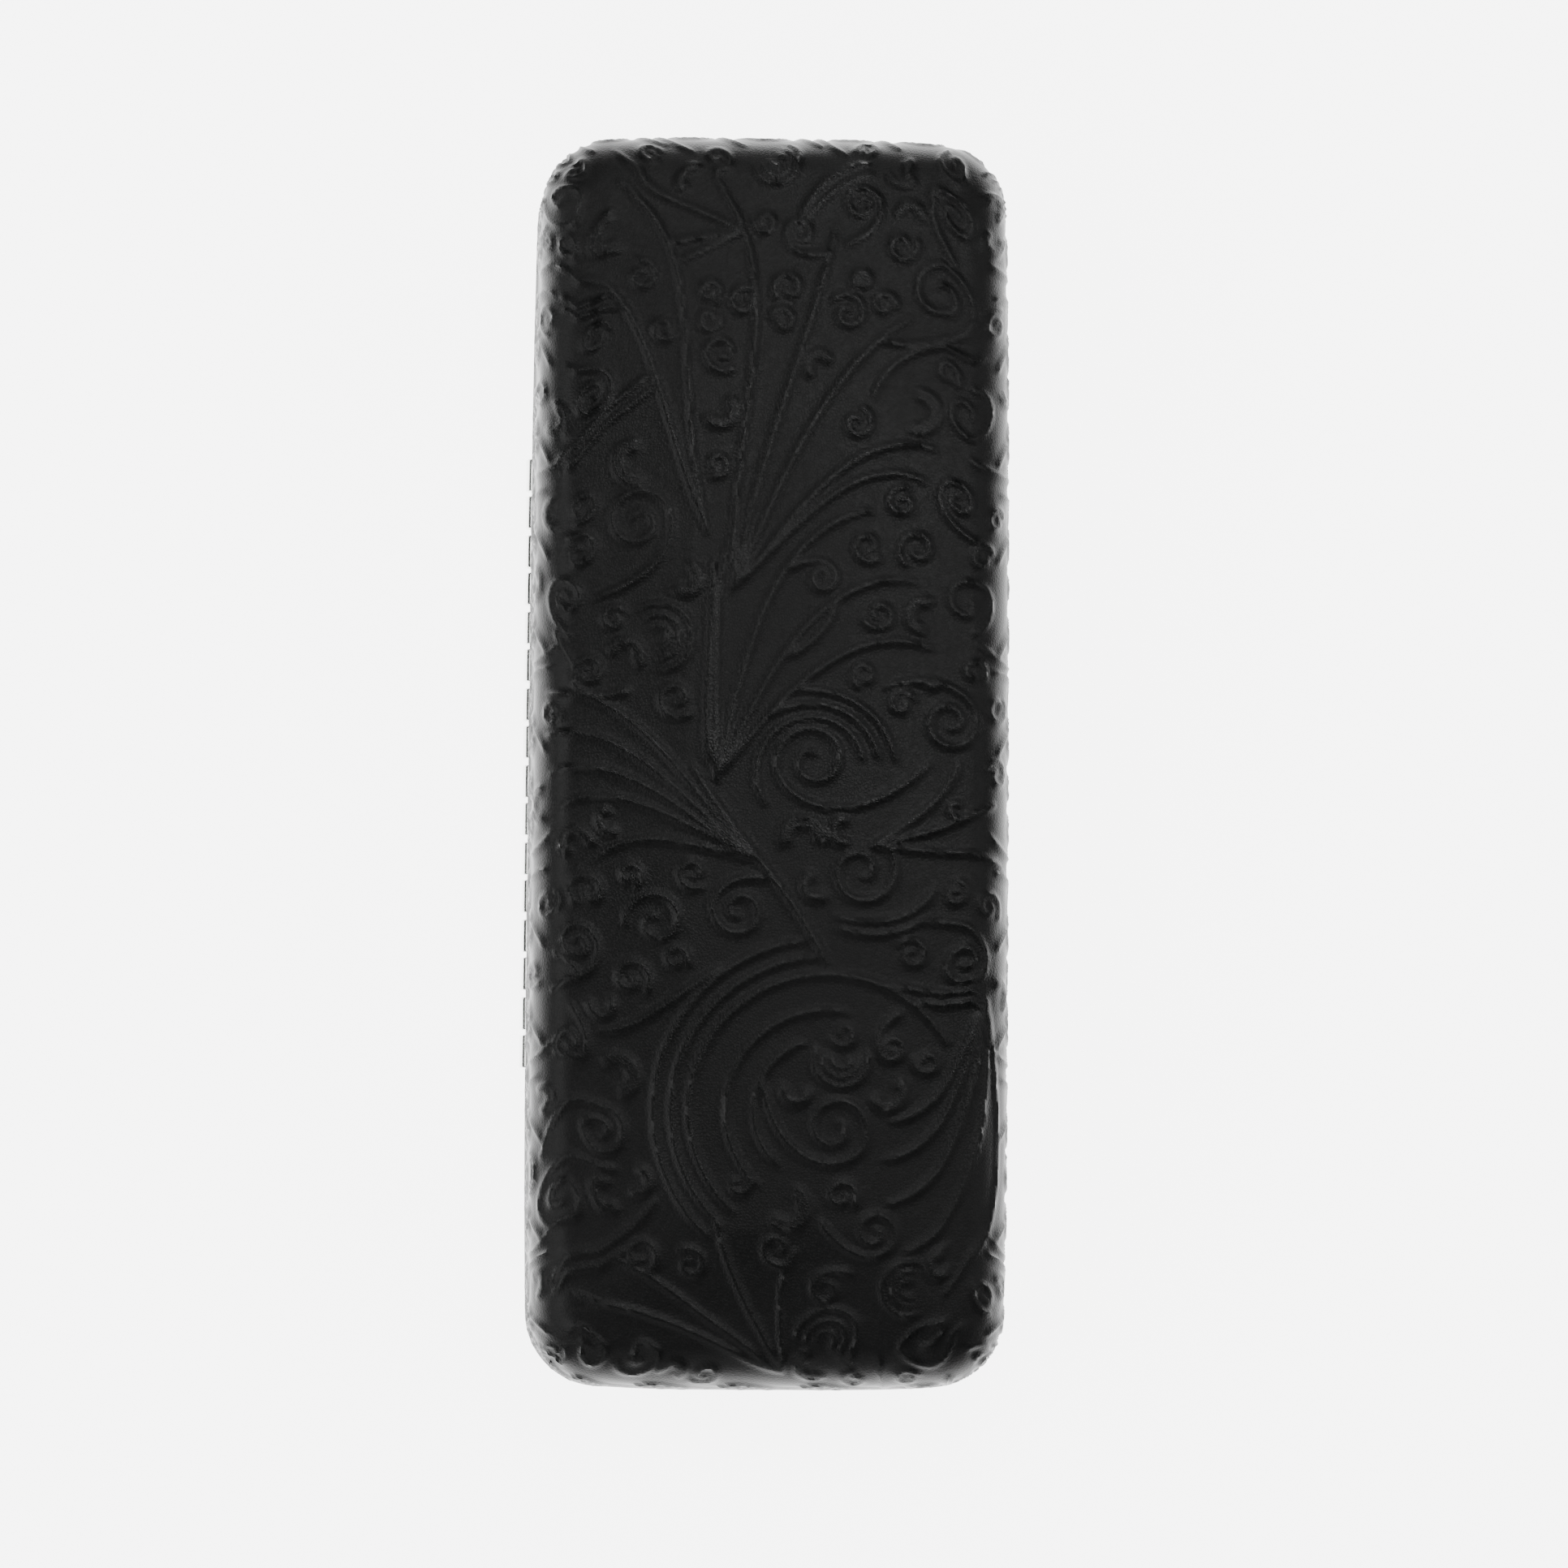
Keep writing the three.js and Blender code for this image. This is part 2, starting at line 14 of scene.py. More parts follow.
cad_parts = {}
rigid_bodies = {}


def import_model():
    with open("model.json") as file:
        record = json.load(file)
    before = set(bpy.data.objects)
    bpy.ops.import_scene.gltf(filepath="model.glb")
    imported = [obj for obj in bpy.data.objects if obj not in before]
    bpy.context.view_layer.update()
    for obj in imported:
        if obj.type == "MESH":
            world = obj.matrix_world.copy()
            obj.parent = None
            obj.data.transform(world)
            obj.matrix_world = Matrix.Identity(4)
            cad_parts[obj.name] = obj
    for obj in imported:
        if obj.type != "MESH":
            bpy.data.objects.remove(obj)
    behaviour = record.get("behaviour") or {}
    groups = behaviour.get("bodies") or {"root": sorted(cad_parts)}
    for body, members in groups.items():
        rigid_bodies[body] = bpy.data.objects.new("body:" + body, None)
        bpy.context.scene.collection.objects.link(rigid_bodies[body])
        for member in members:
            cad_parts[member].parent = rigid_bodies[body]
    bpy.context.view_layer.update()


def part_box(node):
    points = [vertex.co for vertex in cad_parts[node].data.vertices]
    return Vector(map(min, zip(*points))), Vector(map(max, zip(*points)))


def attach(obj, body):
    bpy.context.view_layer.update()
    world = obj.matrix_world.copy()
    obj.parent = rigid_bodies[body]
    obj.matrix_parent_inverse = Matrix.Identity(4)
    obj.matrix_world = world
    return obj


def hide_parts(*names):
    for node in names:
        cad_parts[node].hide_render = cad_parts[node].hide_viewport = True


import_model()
MM = 0.001

# %% [markdown]
# The case is two half shells. Both are described the same way, dome up with the seam at zero: how far
# the outline draws in from the rim, and how high the surface is there. These are the sizes of that
# description in millimetres; the outer sizes come from the frame.

# %% Sizes of the half shells
cover_low, cover_high = (np.array(corner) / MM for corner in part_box("lid_leatherette_cover"))
_, base_high = (np.array(corner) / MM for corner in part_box("base_leatherette_cover"))
LENGTH, DEPTH = cover_high[0] - cover_low[0], cover_high[1] - cover_low[1]
SEAM_Z = (cover_low[2] + base_high[2]) / 2
HALF_SEAM = (cover_low[2] - base_high[2]) / 2
LID_HEIGHT, BASE_HEIGHT = cover_high[2] - SEAM_Z, SEAM_Z
SIDE_BOW = END_BOW = 0.4
HALF_LENGTH, HALF_DEPTH = LENGTH / 2 - END_BOW, DEPTH / 2 - SIDE_BOW
CORNER_RADIUS, CORNER_TAPER = 9.5, 0.5
DRAFT, EDGE_RADIUS, NOSE_RADIUS = math.radians(3), 6.0, 1.2
LID_CROWN, FLAT_INSET = math.radians(3.4), 20.0
WALL_FOOT = HALF_SEAM + NOSE_RADIUS * (1 + math.sin(DRAFT))
CORE = (HALF_LENGTH - CORNER_RADIUS, HALF_DEPTH - CORNER_RADIUS)  # half sizes, where no corner starts
print("outline at the rim:", round(LENGTH, 2), "by", round(DEPTH, 2))

# %% [markdown]
# ## Wrapping a flat sheet over a half shell
# Leatherette starts as a flat sheet that is pulled over the shell, so its pattern runs over the edges
# without a break. The same is done here: a flat grid is a primitive, and each of its points is carried
# to the place that the sheet takes on the shell. A subdivided box would be quicker, but its pattern
# would have to be projected, and would smear on the walls.

# %% The section of a half shell
def section(height, crown):
    """Points down the section: distance along it, inset, height, and angle of its normal."""
    slope, rise = math.tan(DRAFT), math.tan(crown)
    from_crown = height - EDGE_RADIUS * math.cos(crown) - (FLAT_INSET + EDGE_RADIUS * math.sin(crown)) * rise
    from_wall = EDGE_RADIUS * math.cos(DRAFT) + (EDGE_RADIUS * math.sin(DRAFT) - WALL_FOOT) * slope
    centre_z = (from_crown + rise * from_wall) / (1 - rise * slope)
    centre_inset = from_wall + centre_z * slope
    angles = np.linspace(math.pi / 2 - crown, DRAFT, 60)
    edge = np.stack(
        [centre_inset - EDGE_RADIUS * np.cos(angles), centre_z + EDGE_RADIUS * np.sin(angles), angles], 1
    )
    start = np.array([[CORNER_RADIUS, height - (FLAT_INSET - CORNER_RADIUS) * rise, math.pi / 2 - crown]])
    turns = np.linspace(DRAFT, -math.pi / 2, 40)
    nose = np.stack(
        [
            NOSE_RADIUS * (math.cos(DRAFT) - np.cos(turns)),
            HALF_SEAM + NOSE_RADIUS * (1 + np.sin(turns)),
            turns,
        ],
        1,
    )
    rows = np.concatenate([start, edge, nose])
    along = np.concatenate([[0], np.cumsum(np.hypot(*np.diff(rows[:, :2], axis=0).T))])
    return {
        "along": along, "inset": rows[:, 0], "z": rows[:, 1], "angle": rows[:, 2],
        "height": height, "crown": crown,
    }


LID_SECTION = section(LID_HEIGHT, LID_CROWN)
BASE_SECTION = section(BASE_HEIGHT, 0.0)
SHEET = (CORE[0] + LID_SECTION["along"][-1], CORE[1] + LID_SECTION["along"][-1])  # half sizes of the sheet
print("sheet of leatherette for the lid:", [round(2 * s, 1) for s in SHEET], "mm")


# %% Where a point of the sheet lands
def bow(most, share):
    return most * (1 - np.clip(np.abs(share), 0, 1) ** 4)


def around(u, v, inset, radius):
    """Plan position of sheet points outside the core, on an outline with this inset and corner radius."""
    over_x, over_y = np.maximum(np.abs(u) - CORE[0], 0), np.maximum(np.abs(v) - CORE[1], 0)
    most = np.maximum(np.maximum(over_x, over_y), 1e-9)
    # The square corner of the sheet becomes the round corner of the case.
    turn = np.where(over_x >= over_y, over_y / most, 2 - over_x / most) * math.pi / 4
    mid_x, mid_y = HALF_LENGTH - inset - radius, HALF_DEPTH - inset - radius
    share_x, share_y = np.clip(u / CORE[0], -1, 1), np.clip(v / CORE[1], -1, 1)
    on_side, on_end = over_x <= 0, over_y <= 0
    x = np.where(on_side, share_x * mid_x, np.sign(u) * (mid_x + radius * np.cos(turn)))
    y = np.where(on_end, share_y * mid_y, np.sign(v) * (mid_y + radius * np.sin(turn)))
    x = x + np.where(on_end & ~on_side, np.sign(u) * bow(END_BOW, share_y), 0)
    y = y + np.where(on_side & ~on_end, np.sign(v) * bow(SIDE_BOW, share_x), 0)
    return x, y


def wrap(u, v, cut, depth):
    """Where sheet points land on a half shell, this deep under its outer surface."""
    over = np.maximum(np.maximum(np.abs(u) - CORE[0], np.abs(v) - CORE[1]), 0)
    inset = np.interp(over, cut["along"], cut["inset"])
    z = np.interp(over, cut["along"], cut["z"])
    angle = np.interp(over, cut["along"], cut["angle"])
    radius = np.minimum(CORNER_RADIUS - CORNER_TAPER * inset, 1.7 * over)
    radius = np.maximum(radius - depth * np.cos(angle), 0.02)
    x, y = around(u, v, inset + depth * np.cos(angle), radius)
    z = z - depth * np.sin(angle)
    inside = over <= 0
    share_x, share_y = u / CORE[0], v / CORE[1]
    flat_x = u + bow(END_BOW, share_y) * share_x
    flat_y = v + bow(SIDE_BOW, share_x) * share_y
    blend = 2.5
    a, b = HALF_LENGTH - np.abs(flat_x), HALF_DEPTH - np.abs(flat_y)
    mix = np.clip(0.5 + (b - a) / (2 * blend), 0, 1)
    near = b * (1 - mix) + a * mix - blend * mix * (1 - mix)
    crown_z = cut["height"] - np.clip(FLAT_INSET - near, 0, None) * math.tan(cut["crown"]) - depth
    return np.where(inside, flat_x, x), np.where(inside, flat_y, y), np.where(inside, crown_z, z)


# %% [markdown]
# ## The embossing
# The leatherette is pressed with leafy scrollwork: stems that divide, fans of long leaves, and curls
# at their ends. Each line is a stroke of a round tool over a height map of the flat sheet. A stroke's
# curvature changes steadily along its length, as a drawn scroll does, so a few numbers describe it.

# %% The height map and the tool
STEP = 0.12  # millimetres between samples of the height map
RELIEF = 0.34  # millimetres from the ground to the top of a ridge
map_shape = (int(2 * SHEET[0] / STEP) + 3, int(2 * SHEET[1] / STEP) + 3)


SHORTEST = 20  # points of a stroke; anything less is left out


class Embossing:
    def __init__(self):
        self.height = np.zeros(map_shape, np.float32)

    def press(self, path, widths, strength=1.0):
        """Press a ridge along a path of (x, y) points, with a width at each of them."""
        for (x, y), width in zip(path, widths):
            reach = 1.9 * width
            i0, i1 = (int((x + s * reach + SHEET[0]) / STEP) for s in (-1, 1))
            j0, j1 = (int((y + s * reach + SHEET[1]) / STEP) for s in (-1, 1))
            i0, i1 = max(i0, 0), min(i1 + 1, map_shape[0])
            j0, j1 = max(j0, 0), min(j1 + 1, map_shape[1])
            if i0 >= i1 or j0 >= j1:
                continue
            dx = np.arange(i0, i1) * STEP - SHEET[0] - x
            dy = np.arange(j0, j1) * STEP - SHEET[1] - y
            away = (dx[:, None] ** 2 + dy[None, :] ** 2) / width**2
            ridge = strength * (0.8 * np.exp(-3.4 * away) + 0.2 * np.exp(-0.9 * away))
            patch = self.height[i0:i1, j0:j1]
            np.maximum(patch, ridge, out=patch)

    def tuck_under(self, xs, ys):
        """How many points of a path can be pressed before it would cross a ridge that is there already."""
        i = np.clip(((np.asarray(xs) + SHEET[0]) / STEP).astype(int), 0, map_shape[0] - 1)
        j = np.clip(((np.asarray(ys) + SHEET[1]) / STEP).astype(int), 0, map_shape[1] - 1)
        taken = self.height[i, j] > 0.4
        if taken.all():
            return 0
        start = int(np.argmin(taken))
        met = np.flatnonzero(taken[start:])
        return start + int(met[0]) if len(met) else len(taken)

    def stroke(
        self, x, y, heading, length, start_curl, end_curl, width=0.62, tip=0.45, strength=1.0, bias=1.0
    ):
        """A stroke from a point: its curvature runs from start_curl to end_curl, in degrees a millimetre."""
        count = max(int(length / 0.2), 2)
        share = np.linspace(0, 1, count)
        curl = np.radians(start_curl + (end_curl - start_curl) * share**bias)
        angle = math.radians(heading) + np.concatenate([[0], np.cumsum(curl[:-1] * length / (count - 1))])
        xs = x + np.concatenate([[0], np.cumsum(np.cos(angle[:-1]))]) * length / (count - 1)
        ys = y + np.concatenate([[0], np.cumsum(np.sin(angle[:-1]))]) * length / (count - 1)
        free = self.tuck_under(xs, ys)
        if free < SHORTEST:
            return
        share = np.linspace(0, 1, free)
        taper = np.minimum(1, np.minimum(share / 0.12 + 0.35, (1 - share) / 0.2 + tip))
        self.press(zip(xs, ys), width * taper, strength)

    def curl(self, x, y, radius, heading, hand, tail=1.0, turns=1.35, width=0.62):
        """A spiral around a point, with a tail that leaves it towards a heading."""
        count = 90
        share = np.linspace(0, 1, count)
        end = math.radians(heading) - hand * math.pi / 2
        polar = end - hand * (1 - share) * turns * 2 * math.pi
        size = radius * (0.16 + 0.84 * share**0.85)
        xs, ys = x + size * np.cos(polar), y + size * np.sin(polar)
        free = self.tuck_under(xs, ys)
        if free < 0.5 * count:
            return
        self.press(zip(xs[:free], ys[:free]), width * np.minimum(1, 0.55 + share[:free]))
        if tail > 0 and free == count:
            tight = math.degrees(hand / radius)
            self.stroke(xs[-1], ys[-1], heading, tail * radius * 3, tight, tight * 0.12, width, bias=0.5)

    def fan(self, x, y, headings, lengths, bend, hook, count, width=0.62):
        """Leaves that spread from a root and hook over at their ends."""
        for share in np.linspace(0, 1, count):
            self.stroke(
                x + 0.5 * math.cos(math.radians(headings[0])) * share,
                y,
                headings[0] + (headings[1] - headings[0]) * share,
                lengths[0] + (lengths[1] - lengths[0]) * share,
                bend[0] + (bend[1] - bend[0]) * share,
                hook[0] + (hook[1] - hook[0]) * share,
                width,
                bias=2.2,
            )


# %% The scrollwork of the top
def top_scrolls(sheet):
    """Curls, stems and leaves on the top: places in millimetres, headings in degrees from +X."""
    curls = [  # x, y, radius, heading of the tail, hand, tail
        (-1, -5, 4.7, 200, 1, 1.6), (16, -15, 2.8, 150, -1, 1.5), (4, -22, 3.7, 20, 1, 1.2),
        (9, -20, 1.4, 140, -1, 1), (-7, -23, 2.1, 160, 1, 1.2), (59, -21, 4.2, 190, -1, 1.8),
        (33, -23, 2.4, 170, 1, 1.2), (35, -17, 1.3, 60, -1, 1), (44, 14, 4.0, 240, 1, 1.5),
        (29, 17, 4.2, 200, -1, 1.3), (46, 23, 2.6, 10, 1, 1), (10, 23, 2.1, 190, 1, 1.4),
        (-2, 25, 3.2, 20, -1, 1.2), (-7, 17, 2.5, 100, 1, 1.3), (-20, 4, 3.4, 330, -1, 1.4),
        (-15, -11, 4.7, 60, 1, 1.3), (-11, -17, 1.5, 240, -1, 1), (-47, -8, 4.4, 110, -1, 1.6),
        (-48, 21, 3.2, 60, 1, 1.4), (-63, 16, 2.7, 20, -1, 1.3), (-69, 21, 2.4, 150, 1, 1),
        (-62, -1, 2.7, 60, 1, 1.5), (-67, -7, 1.7, 330, -1, 1), (-60, -13, 2.8, 120, -1, 1.2),
        (-47, -19, 2.2, 300, 1, 1.3), (-37, -15, 1.7, 40, -1, 1.4), (-54, 4, 2.0, 190, 1, 1),
        (-58, 26, 3.6, 350, -1, 1.2), (-32, 15, 3.0, 150, 1, 1.6), (66, -3, 1.8, 180, 1, 1.6),
        (70, -11, 2.4, 200, -1, 1.2), (70, -23, 2.9, 150, 1, 1), (60, -11, 1.3, 210, 1, 1),
        (66, 11, 1.9, 250, -1, 1.4), (22, -6, 1.8, 30, 1, 1.4), (-25, 24, 2.6, 200, -1, 1.3),
        (-27, -24, 3.0, 350, 1, 1.4), (20, 26, 2.4, 160, 1, 1), (57, 4, 2.2, 160, -1, 1.4),
        (-73, 5, 2.2, 30, 1, 1.3), (-38, 25, 2.2, 330, 1, 1),
    ]
    # The stems and their plumes of leaves, then the curls, and last the strokes that tuck under both.
    sheet.stroke(-27, -7, 24, 30, 1.6, -1.2, width=0.8)
    sheet.stroke(-2, 8, 4, 26, -0.8, 0.4, width=0.8)
    sheet.fan(20, 5, (2, -44), (55, 30), (-0.6, 0.2), (4, -9), 9)
    sheet.fan(-4, 7, (6, -42), (48, 32), (0.2, -0.5), (-4.5, -7), 9)
    sheet.fan(27, 8, (16, 66), (50, 20), (-0.9, 0.3), (5.5, 10), 7)
    sheet.fan(-14, 2, (28, 78), (42, 20), (-0.5, -0.3), (5, 10), 8)
    for radius, sweep in ((17.0, 200), (19.2, 180), (21.4, 165), (12.5, 150), (9.0, 120)):
        turn = 57.3 / radius
        sheet.stroke(
            -45 + radius * math.cos(2.4), -7 + radius * math.sin(2.4), 47.5,
            math.radians(sweep) * radius, -turn, -turn,
        )
    sheet.fan(-27, 6, (122, 172), (18, 40), (1.0, 0.4), (-9, -5), 7)
    sheet.fan(-31, -27, (190, 160), (40, 20), (-0.2, -0.8), (-5, -9), 5)
    sheet.fan(-78, -2, (68, 4), (28, 16), (-0.6, 0.2), (6, -9), 6)
    sheet.fan(-12, -12, (-60, -110), (16, 20), (0.8, -0.6), (8, -9), 4)
    sheet.fan(66, 4, (62, 118), (22, 24), (1.0, -0.5), (-9, 8), 4)
    for x, y, radius, heading, hand, tail in curls:
        sheet.curl(x, y, radius, heading, hand, tail)
    for x, y, heading, length, start, end in (
        (14, 27, 205, 24, 3.2, 7.5), (-33, -27, 75, 22, 1.4, -7.0), (36, 27, 320, 24, -2.0, 5.5),
        (58, 27, 250, 20, 2.4, -6.5), (-26, 27, 225, 18, 2.5, -8.0), (74, -14, 100, 17, 3.0, 8.5),
        (52, -27, 80, 18, 3.0, 8.0), (-50, -27, 30, 20, 3.0, -6.0), (-70, 27, 320, 20, -2.5, 6.0),
        (-22, -8, 250, 16, 4.0, 9.0), (12, -2, 300, 18, 4.0, 8.0),
    ):
        for gap in (0, 1.5):
            sheet.stroke(x + gap, y + 0.3 * gap, heading, length - gap, start, end, bias=1.6)
    for radius in (6.2, 8.2, 10.2):
        sheet.stroke(-1, -5 - radius, 10, radius * 3.9, 57.3 / radius, 47 / radius)


# %% The scrollwork of the walls
def wall_scrolls(sheet):
    """A running scroll around the walls: leaves and curls that repeat, leaning one way then the other."""
    reach = LID_SECTION["along"][-1]
    for side in (-1, 1):
        for i, x in enumerate(np.arange(-72, 78, 12.5)):
            hand = side * (1 if i % 2 else -1)
            y = side * (CORE[1] + 0.56 * reach)
            sheet.curl(x, y, 3.6 - 0.5 * (i % 3), 180 * (i % 2) + 20 * side, hand, 1.5)
            sheet.stroke(x + 5, y + side * 7, 150 * side, 17, -2 * side, -7 * side)
            sheet.stroke(x + 7.5, y + side * 7, 150 * side, 15, -2 * side, -8 * side)
            sheet.stroke(x - 3, y - side * 6, 35 * side, 13, 4 * side, 9 * side)
            sheet.curl(x + 6, y + side * 5.5, 1.7, 200, -hand, 1.2)
        for i, y in enumerate(np.arange(-20, 24, 10.5)):
            x = side * (CORE[0] + 0.55 * reach)
            sheet.curl(x, y, 3.3 - 0.4 * (i % 2), 90 + 180 * (i % 2), 1 if i % 2 else -1, 1.5)
            sheet.stroke(x + side * 7, y + 4, 90 + 75 * side, 16, 2.5, 7)
            sheet.stroke(x + side * 7, y + 6.5, 90 + 75 * side, 14, 2.5, 8)
            sheet.curl(x + side * 6, y + 5, 1.6, 250, -1, 1.1)


# %% Filling what is left
def fill_gaps(sheet):
    """Put curls and nested crescents wherever the sheet is still bare, the largest first."""
    for radius in (5.0, 4.0, 3.2, 2.6, 2.1):
        reach = int(radius / STEP)
        for row, x in enumerate(np.arange(radius - SHEET[0], SHEET[0] - radius, 0.55 * radius)):
            for column, y in enumerate(np.arange(radius - SHEET[1], SHEET[1] - radius, 0.55 * radius)):
                i, j = int((x + SHEET[0]) / STEP), int((y + SHEET[1]) / STEP)
                if sheet.height[i - reach : i + reach, j - reach : j + reach].max() > 0.3:
                    continue
                heading, hand = (37 * row + 71 * column) % 360, 1 if (row + column) % 2 else -1
                if (row + 2 * column) % 3:
                    sheet.curl(x, y, 0.78 * radius, heading, hand, 0.3, 1.25, width=0.58)
                    continue
                for share in (0.28, 0.55, 0.84):
                    size = share * radius
                    angle = math.radians(heading)
                    sheet.stroke(
                        x + size * math.sin(angle) * hand, y - size * math.cos(angle) * hand,
                        heading, size * 3.9, hand * 57.3 / size, hand * 57.3 / size, width=0.55,
                    )


lid_sheet = Embossing()
top_scrolls(lid_sheet)
wall_scrolls(lid_sheet)
fill_gaps(lid_sheet)
print("share of the sheet under a ridge:", round(float((lid_sheet.height > 0.3).mean()), 3))


# %% Reading the height map
def relief_at(sheet, u, v):
    """Height of the embossing at sheet points, 0 to 1, faded out where the sheet turns under the rim."""
    i = np.clip((u + SHEET[0]) / STEP, 0, map_shape[0] - 1.001)
    j = np.clip((v + SHEET[1]) / STEP, 0, map_shape[1] - 1.001)
    i0, j0 = i.astype(int), j.astype(int)
    fi, fj = i - i0, j - j0
    h = sheet.height
    value = (
        (h[i0, j0] * (1 - fi) + h[i0 + 1, j0] * fi) * (1 - fj)
        + (h[i0, j0 + 1] * (1 - fi) + h[i0 + 1, j0 + 1] * fi) * fj
    )
    over = np.maximum(np.maximum(np.abs(u) - CORE[0], np.abs(v) - CORE[1]), 0)
    fade = np.clip((LID_SECTION["along"][-1] - 1.6 - over) / 1.2, 0, 1)
    return value * fade, fade


# %% [markdown]
# ## Materials
# Each finish is a small node tree on the Principled shader. The patterns read Object coordinates, so
# they stay on the piece when it moves, and an attribute where they have to follow the embossing.

# %% A start for every finish
def finish(name, slot_values):
    """A new material, its node tree and its Principled shader with some of the sockets set."""
    made = bpy.data.materials.new(name)
    made.use_nodes = True
    tree = made.node_tree
    shader = tree.nodes["Principled BSDF"]
    for socket, value in slot_values.items():
        shader.inputs[socket].default_value = value
    return made, tree, shader


def node(tree, kind, values=None, **settings):
    made = tree.nodes.new(kind)
    for key, value in settings.items():
        setattr(made, key, value)
    for socket, value in (values or {}).items():
        made.inputs[socket].default_value = value
    return made


def ramp(tree, source, low, high, colours):
    """A colour ramp between two places, fed by a factor."""
    made = node(tree, "ShaderNodeValToRGB")
    made.color_ramp.elements[0].position, made.color_ramp.elements[1].position = low, high
    made.color_ramp.elements[0].color, made.color_ramp.elements[1].color = colours
    tree.links.new(source, made.inputs["Fac"])
    return made.outputs["Color"]


def grey(value):
    return (value, value, value, 1)


# %% Embossed leatherette
def leatherette_finish():
    made, tree, shader = finish(
        "embossed_leatherette",
        {"Metallic": 0.0, "Specular IOR Level": 0.2},
    )
    link = tree.links.new
    place = node(tree, "ShaderNodeTexCoord").outputs["Object"]
    emboss = node(tree, "ShaderNodeAttribute", attribute_name="emboss").outputs["Fac"]
    grain = node(
        tree, "ShaderNodeTexVoronoi", {"Scale": 2600.0, "Randomness": 1.0}, feature="DISTANCE_TO_EDGE"
    )
    pores = node(tree, "ShaderNodeTexNoise", {"Scale": 5200.0, "Detail": 3.0})
    cloud = node(tree, "ShaderNodeTexNoise", {"Scale": 34.0, "Detail": 4.0, "Roughness": 0.55})
    for texture in (grain, pores, cloud):
        link(place, texture.inputs["Vector"])
    ground = ramp(
        tree, cloud.outputs["Fac"], 0.35, 0.7, ((0.0010, 0.0013, 0.0012, 1), (0.0020, 0.0021, 0.0022, 1))
    )
    # Painted highlight: the base colour is lighter towards the ridge tops, standing in for the light that
    # catches the ridges.
    ridge_highlight = node(tree, "ShaderNodeMix", {"B": (0.0042, 0.0047, 0.0045, 1)}, data_type="RGBA")
    link(ramp(tree, emboss, 0.45, 1.0, (grey(0.0), grey(0.85))), ridge_highlight.inputs["Factor"])
    link(ground, ridge_highlight.inputs["A"])
    link(ridge_highlight.outputs["Result"], shader.inputs["Base Color"])
    # Ridges are polished by handling, and the ground keeps its matt grain.
    gloss = node(
        tree, "ShaderNodeMapRange", {"From Min": 0.0, "From Max": 1.0, "To Min": 0.40, "To Max": 0.28}
    )
    link(emboss, gloss.inputs["Value"])
    drift = node(
        tree, "ShaderNodeMapRange", {"From Min": 0.3, "From Max": 0.7, "To Min": -0.05, "To Max": 0.05}
    )
    link(cloud.outputs["Fac"], drift.inputs["Value"])
    rough = node(tree, "ShaderNodeMath", operation="ADD")
    link(gloss.outputs["Result"], rough.inputs[0])
    link(drift.outputs["Result"], rough.inputs[1])
    link(rough.outputs["Value"], shader.inputs["Roughness"])
    cells = node(
        tree, "ShaderNodeMapRange", {"From Min": 0.0, "From Max": 0.25, "To Min": 0.0, "To Max": 1.0}
    )
    link(grain.outputs["Distance"], cells.inputs["Value"])
    both = node(tree, "ShaderNodeMath", {1: 0.5}, operation="MULTIPLY_ADD")
    link(pores.outputs["Fac"], both.inputs[0])
    link(cells.outputs["Result"], both.inputs[2])
    bump = node(tree, "ShaderNodeBump", {"Strength": 0.3, "Distance": 0.00005})
    link(both.outputs["Value"], bump.inputs["Height"])
    link(bump.outputs["Normal"], shader.inputs["Normal"])
    return made


# %% Plush
def plush_finish():
    made, tree, shader = finish(
        "violet_plush",
        {"Roughness": 0.95, "Specular IOR Level": 0.15, "Sheen Weight": 0.75, "Sheen Roughness": 0.45},
    )
    shader.inputs["Sheen Tint"].default_value = (0.62, 0.55, 0.85, 1)
    link = tree.links.new
    place = node(tree, "ShaderNodeTexCoord").outputs["Object"]
    pile = node(tree, "ShaderNodeTexNoise", {"Scale": 4200.0, "Detail": 4.0, "Roughness": 0.7})
    nap = node(tree, "ShaderNodeTexNoise", {"Scale": 85.0, "Detail": 3.0, "Distortion": 1.2})
    for texture in (pile, nap):
        link(place, texture.inputs["Vector"])
    stroked = ramp(tree, nap.outputs["Fac"], 0.35, 0.68, ((0.030, 0.022, 0.062, 1), (0.060, 0.046, 0.115, 1)))
    tips = node(tree, "ShaderNodeMix", {"B": (0.105, 0.085, 0.19, 1)}, data_type="RGBA")
    link(ramp(tree, pile.outputs["Fac"], 0.5, 0.75, (grey(0), grey(0.6))), tips.inputs["Factor"])
    link(stroked, tips.inputs["A"])
    link(tips.outputs["Result"], shader.inputs["Base Color"])
    bump = node(tree, "ShaderNodeBump", {"Strength": 0.7, "Distance": 0.00015})
    link(pile.outputs["Fac"], bump.inputs["Height"])
    link(bump.outputs["Normal"], shader.inputs["Normal"])
    return made


